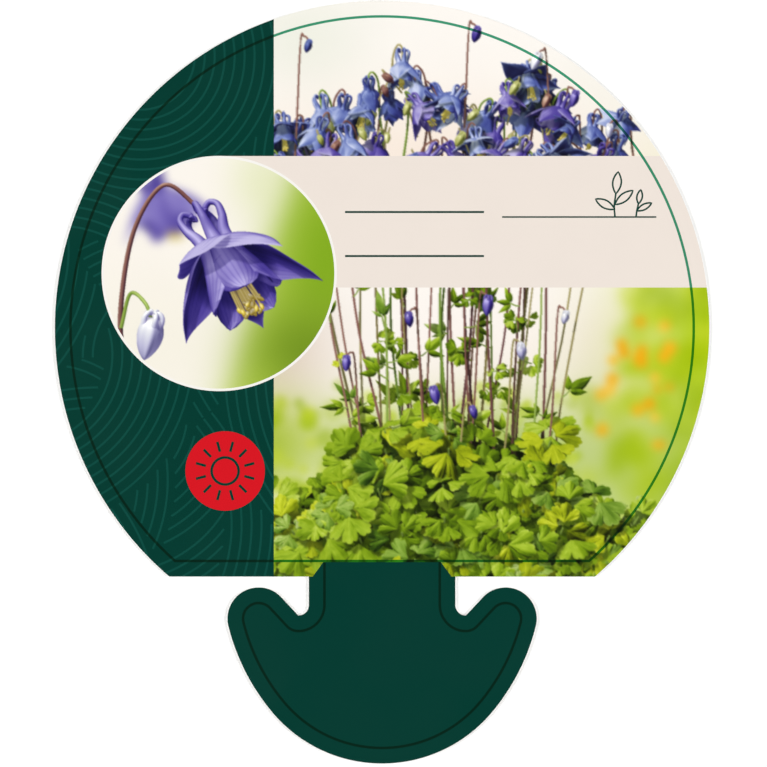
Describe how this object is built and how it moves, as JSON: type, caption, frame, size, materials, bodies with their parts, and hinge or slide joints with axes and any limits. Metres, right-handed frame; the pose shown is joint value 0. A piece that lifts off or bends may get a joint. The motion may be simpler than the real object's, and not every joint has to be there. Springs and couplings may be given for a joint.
{
  "type": "plant label",
  "caption": "Flat die-cut plastic plant label with a round printed head that pictures a columbine, a short neck and an anchor-shaped foot that locks into the label slot of a plant pot.",
  "frame": {"origin": "middle of the outline's box, on the plain back face, which is what the label lies on", "axes": "+X to the right and +Y to the top of the head as the print is read, +Z out of the printed face"},
  "size_m": [0.084, 0.098, 0.0004],
  "materials": {
    "printed_plastic": "satin"
  },
  "bodies": {
    "root": {"label_sheet": "printed_plastic"}
  },
  "joints": []
}
